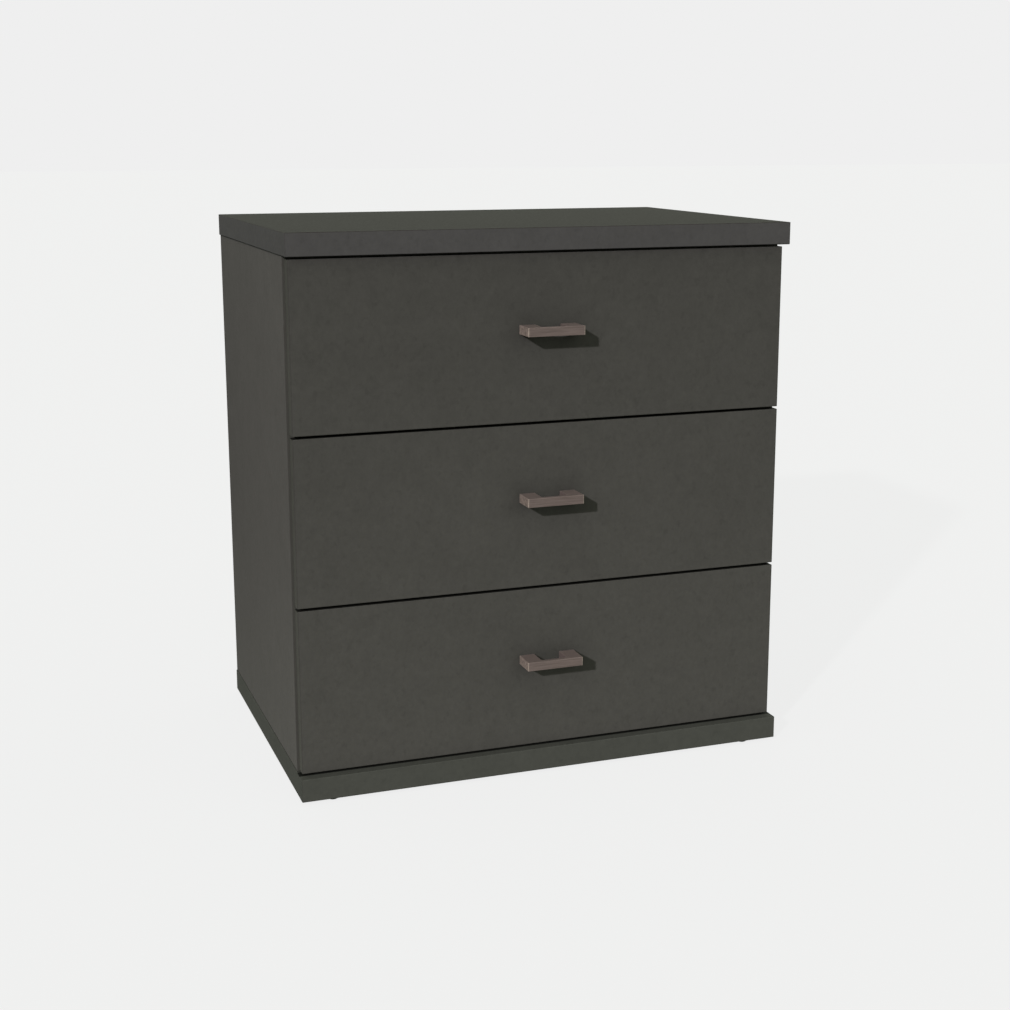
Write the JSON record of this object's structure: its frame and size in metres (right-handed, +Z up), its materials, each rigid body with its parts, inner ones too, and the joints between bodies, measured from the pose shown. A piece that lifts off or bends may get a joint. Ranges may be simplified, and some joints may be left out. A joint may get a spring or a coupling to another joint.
{
  "type": "nightstand with drawers",
  "caption": "Low square-edged bedside cabinet in matt dark grey with stacked full-width drawers, slim U-shaped bar handles, an overhanging top slab and a low base slab.",
  "frame": {"origin": "on the floor, at the middle of the whole object's footprint, handles included", "axes": "+Z up, +Y to the back of the cabinet, +X to the right seen from the front; the drawers open towards -Y"},
  "size_m": [0.602, 0.4284, 0.645],
  "materials": {
    "slab_laminate": "matt dark grey laminate",
    "body_laminate": "matt dark grey laminate",
    "front_laminate": "matt dark grey laminate",
    "box_board": "satin light grey melamine",
    "hardboard": "satin painted hardboard",
    "handle_metal": "brushed, rose brown",
    "runner_steel": "zinc plated",
    "fastener_steel": "zinc plated",
    "dowel_wood": "fluted beech",
    "glide_plastic": "black, satin",
    "bumper_plastic": "soft, translucent grey"
  },
  "bodies": {
    "root": {"top_slab": "slab_laminate", "base_slab": "slab_laminate", "left_side_panel": "body_laminate", "right_side_panel": "body_laminate", "back_panel": "hardboard", "front_top_rail": "body_laminate", "rear_top_rail": "body_laminate", "glides": "glide_plastic", "bumpers": "bumper_plastic", "dowels": "dowel_wood", "base_screws": "fastener_steel", "top_screws": "fastener_steel", "back_panel_screws": "fastener_steel", "rail_cam_fittings": "fastener_steel", "runner_screws": "fastener_steel", "top_left_outer_runner": "runner_steel", "top_right_outer_runner": "runner_steel", "middle_left_outer_runner": "runner_steel", "middle_right_outer_runner": "runner_steel", "bottom_left_outer_runner": "runner_steel", "bottom_right_outer_runner": "runner_steel"},
    "top_drawer": {"top_drawer_front": "front_laminate", "top_drawer_handle": "handle_metal", "top_drawer_handle_screws": "fastener_steel", "top_drawer_left_box_side": "box_board", "top_drawer_right_box_side": "box_board", "top_drawer_box_back": "box_board", "top_drawer_box_floor": "hardboard", "top_drawer_cam_fittings": "fastener_steel", "top_drawer_box_screws": "fastener_steel", "top_drawer_left_inner_runner": "runner_steel", "top_drawer_right_inner_runner": "runner_steel"},
    "top_runners": {"top_left_middle_runner": "runner_steel", "top_right_middle_runner": "runner_steel"},
    "middle_drawer": {"middle_drawer_front": "front_laminate", "middle_drawer_handle": "handle_metal", "middle_drawer_handle_screws": "fastener_steel", "middle_drawer_left_box_side": "box_board", "middle_drawer_right_box_side": "box_board", "middle_drawer_box_back": "box_board", "middle_drawer_box_floor": "hardboard", "middle_drawer_cam_fittings": "fastener_steel", "middle_drawer_box_screws": "fastener_steel", "middle_drawer_left_inner_runner": "runner_steel", "middle_drawer_right_inner_runner": "runner_steel"},
    "middle_runners": {"middle_left_middle_runner": "runner_steel", "middle_right_middle_runner": "runner_steel"},
    "bottom_drawer": {"bottom_drawer_front": "front_laminate", "bottom_drawer_handle": "handle_metal", "bottom_drawer_handle_screws": "fastener_steel", "bottom_drawer_left_box_side": "box_board", "bottom_drawer_right_box_side": "box_board", "bottom_drawer_box_back": "box_board", "bottom_drawer_box_floor": "hardboard", "bottom_drawer_cam_fittings": "fastener_steel", "bottom_drawer_box_screws": "fastener_steel", "bottom_drawer_left_inner_runner": "runner_steel", "bottom_drawer_right_inner_runner": "runner_steel"},
    "bottom_runners": {"bottom_left_middle_runner": "runner_steel", "bottom_right_middle_runner": "runner_steel"}
  },
  "joints": [
    {"name": "top_drawer_slide", "type": "slide", "parent": "root", "child": "top_drawer", "axis": [0, -1, 0], "range_m": [0, 0.34]},
    {"name": "top_runner_slide", "type": "slide", "parent": "root", "child": "top_runners", "axis": [0, -1, 0], "range_m": [0, 0.17]},
    {"name": "middle_drawer_slide", "type": "slide", "parent": "root", "child": "middle_drawer", "axis": [0, -1, 0], "range_m": [0, 0.34]},
    {"name": "middle_runner_slide", "type": "slide", "parent": "root", "child": "middle_runners", "axis": [0, -1, 0], "range_m": [0, 0.17]},
    {"name": "bottom_drawer_slide", "type": "slide", "parent": "root", "child": "bottom_drawer", "axis": [0, -1, 0], "range_m": [0, 0.34]},
    {"name": "bottom_runner_slide", "type": "slide", "parent": "root", "child": "bottom_runners", "axis": [0, -1, 0], "range_m": [0, 0.17]}
  ],
  "couplings": [
    {"joint": "top_runner_slide", "follows": "top_drawer_slide", "ratio": 0.5},
    {"joint": "middle_runner_slide", "follows": "middle_drawer_slide", "ratio": 0.5},
    {"joint": "bottom_runner_slide", "follows": "bottom_drawer_slide", "ratio": 0.5}
  ]
}
